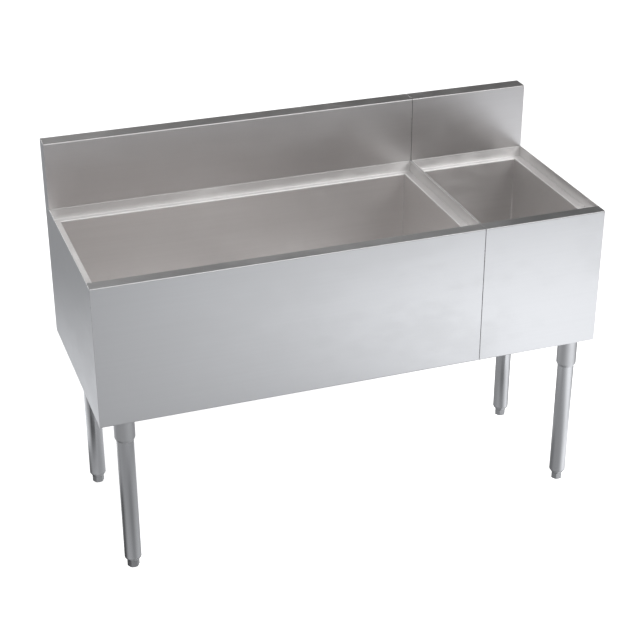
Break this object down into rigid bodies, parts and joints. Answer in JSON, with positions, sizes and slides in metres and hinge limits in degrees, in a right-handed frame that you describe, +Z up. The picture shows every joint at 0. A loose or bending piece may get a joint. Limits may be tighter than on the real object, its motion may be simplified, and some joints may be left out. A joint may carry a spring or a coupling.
{
  "type": "underbar ice bin",
  "caption": "Free-standing underbar ice bin in brushed stainless steel: a wide insulated bin beside a narrow one, with cover ledges, drains, a boxed backsplash and round levelling legs.",
  "frame": {"origin": "on the floor, under the middle of the body's width and depth", "axes": "+X to the right along the long side, -Y out of the front apron, +Z up"},
  "size_m": [1.2192, 0.488, 0.924],
  "materials": {
    "shell_steel": "brushed stainless, fine horizontal grain, satin sheen",
    "liner_steel": "brushed stainless, a little warmer and duller than the outside",
    "ledge_steel": "stainless blended by hand after welding, even satin without a grain",
    "galvanised_steel": "galvanised sheet with faint spangle",
    "leg_steel": "drawn stainless tube, satin",
    "foot_steel": "cast stainless, satin",
    "drain_steel": "turned stainless",
    "fastener_steel": "plated steel",
    "foam": "rigid polyurethane foam",
    "rubber": "black rubber"
  },
  "bodies": {
    "cabinet": {"ice_ledge_frame": "ledge_steel", "ice_liner": "liner_steel", "ice_insulation": "foam", "ice_front_apron": "shell_steel", "ice_left_panel": "shell_steel", "ice_right_panel": "shell_steel", "ice_rear_panel": "galvanised_steel", "ice_bottom_pan": "galvanised_steel", "ice_backsplash": "shell_steel", "ice_backsplash_left_end": "shell_steel", "ice_backsplash_right_end": "shell_steel", "ice_drain_body": "drain_steel", "ice_drain_gasket": "rubber", "ice_drain_locknut": "drain_steel", "ice_drain_tailpiece": "drain_steel", "ice_drain_strainer": "drain_steel", "side_ledge_frame": "ledge_steel", "side_liner": "liner_steel", "side_insulation": "foam", "side_front_apron": "shell_steel", "side_left_panel": "shell_steel", "side_right_panel": "shell_steel", "side_rear_panel": "galvanised_steel", "side_bottom_pan": "galvanised_steel", "side_backsplash": "shell_steel", "side_backsplash_left_end": "shell_steel", "side_backsplash_right_end": "shell_steel", "side_drain_body": "drain_steel", "side_drain_gasket": "rubber", "side_drain_locknut": "drain_steel", "side_drain_tailpiece": "drain_steel", "side_drain_strainer": "drain_steel", "left_leg_channel": "galvanised_steel", "right_leg_channel": "galvanised_steel", "joint_plate": "galvanised_steel", "joint_plate_bolts": "fastener_steel", "joint_plate_nuts": "fastener_steel", "seam_bolts": "fastener_steel", "seam_nuts": "fastener_steel", "seam_washers": "fastener_steel", "front_left_leg_socket": "leg_steel", "front_right_leg_socket": "leg_steel", "rear_left_leg_socket": "leg_steel", "rear_right_leg_socket": "leg_steel", "front_left_leg_tube": "leg_steel", "front_right_leg_tube": "leg_steel", "rear_left_leg_tube": "leg_steel", "rear_right_leg_tube": "leg_steel", "front_left_leg_plug": "foot_steel", "front_right_leg_plug": "foot_steel", "rear_left_leg_plug": "foot_steel", "rear_right_leg_plug": "foot_steel", "socket_bolts": "fastener_steel", "socket_nuts": "fastener_steel", "socket_grub_screws": "fastener_steel"},
    "front_left_foot": {"front_left_foot": "foot_steel"},
    "front_right_foot": {"front_right_foot": "foot_steel"},
    "rear_left_foot": {"rear_left_foot": "foot_steel"},
    "rear_right_foot": {"rear_right_foot": "foot_steel"}
  },
  "joints": [
    {"name": "front_left_foot_screw", "type": "slide", "parent": "cabinet", "child": "front_left_foot", "axis": [0, 0, -1], "range_m": [0, 0.025]},
    {"name": "front_right_foot_screw", "type": "slide", "parent": "cabinet", "child": "front_right_foot", "axis": [0, 0, -1], "range_m": [0, 0.025]},
    {"name": "rear_left_foot_screw", "type": "slide", "parent": "cabinet", "child": "rear_left_foot", "axis": [0, 0, -1], "range_m": [0, 0.025]},
    {"name": "rear_right_foot_screw", "type": "slide", "parent": "cabinet", "child": "rear_right_foot", "axis": [0, 0, -1], "range_m": [0, 0.025]}
  ]
}
